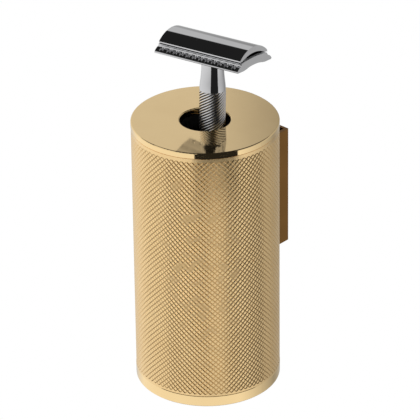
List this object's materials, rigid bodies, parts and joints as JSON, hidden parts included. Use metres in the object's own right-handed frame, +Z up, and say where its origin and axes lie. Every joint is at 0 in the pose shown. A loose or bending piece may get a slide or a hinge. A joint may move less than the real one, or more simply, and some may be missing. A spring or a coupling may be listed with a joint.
{
  "type": "razor stand",
  "caption": "Knurled cylindrical razor stand with a lift-out lid and well, a hook-on wall bracket and a three-piece safety razor leaning in it.",
  "frame": {"origin": "centre of the foot pad's underside, on the axis of the cylinder", "axes": "+Z up along the cylinder, +Y towards the wall bracket, +X along the wall"},
  "size_m": [0.0642, 0.0698, 0.1624],
  "materials": {
    "brass_knurled": "knurled, lacquered satin brass",
    "brass_polished": "polished lacquered brass",
    "brass_bracket": "polished lacquered brass sheet",
    "brass_raw": "machined brass",
    "steel_fasteners": "zinc plated steel",
    "zinc_block": "die cast, bead blasted",
    "rubber_black": "matt rubber",
    "nylon_white": "natural nylon",
    "plastic_black": "moulded, fine matt texture",
    "chrome_polished": "polished chrome plate",
    "chrome_grip": "grooved chrome plate",
    "blade_steel": "ground stainless steel"
  },
  "bodies": {
    "stand": {"knurled_sleeve": "brass_knurled", "base_cap": "brass_polished", "base_ring": "brass_raw", "base_screws": "steel_fasteners", "foot_pad": "rubber_black", "hanger_block": "zinc_block", "hanger_screws": "steel_fasteners", "nut_plate": "brass_raw", "glide_pads": "nylon_white"},
    "bracket": {"wall_bracket": "brass_bracket", "bracket_studs": "brass_raw"},
    "lid": {"lid": "brass_polished", "lid_seal": "rubber_black", "razor_well": "plastic_black", "well_clamp_ring": "plastic_black", "well_pad": "rubber_black"},
    "handle": {"handle_grip": "chrome_grip", "handle_foot": "chrome_polished", "handle_neck": "chrome_polished", "thread_insert": "brass_raw"},
    "comb": {"comb_plate": "chrome_polished", "blade": "blade_steel"},
    "razor_cap": {"razor_cap": "chrome_polished", "cap_stud": "steel_fasteners", "cap_pins": "steel_fasteners"}
  },
  "joints": [
    {"name": "bracket_drop", "type": "slide", "parent": "stand", "child": "bracket", "axis": [0, 0, -1], "range_m": [0, 0.008]},
    {"name": "lid_lift", "type": "slide", "parent": "stand", "child": "lid", "axis": [0, 0, 1], "range_m": [0, 0.065]},
    {"name": "razor_lift", "type": "slide", "parent": "lid", "child": "handle", "axis": [-0.0666, 0.0979, 0.993], "range_m": [0, 0.068]},
    {"name": "head_turn", "type": "hinge", "parent": "handle", "child": "comb", "pos_m": [-0.00202, 0.00756, 0.1535], "axis": [-0.0666, 0.0979, 0.993], "range_deg": [0, 2700]},
    {"name": "cap_rise", "type": "slide", "parent": "comb", "child": "razor_cap", "axis": [-0.0666, 0.0979, 0.993], "range_m": [0, 0.00602]}
  ],
  "couplings": [
    {"joint": "cap_rise", "follows": "head_turn", "m_per_rad": 0.00012732}
  ]
}
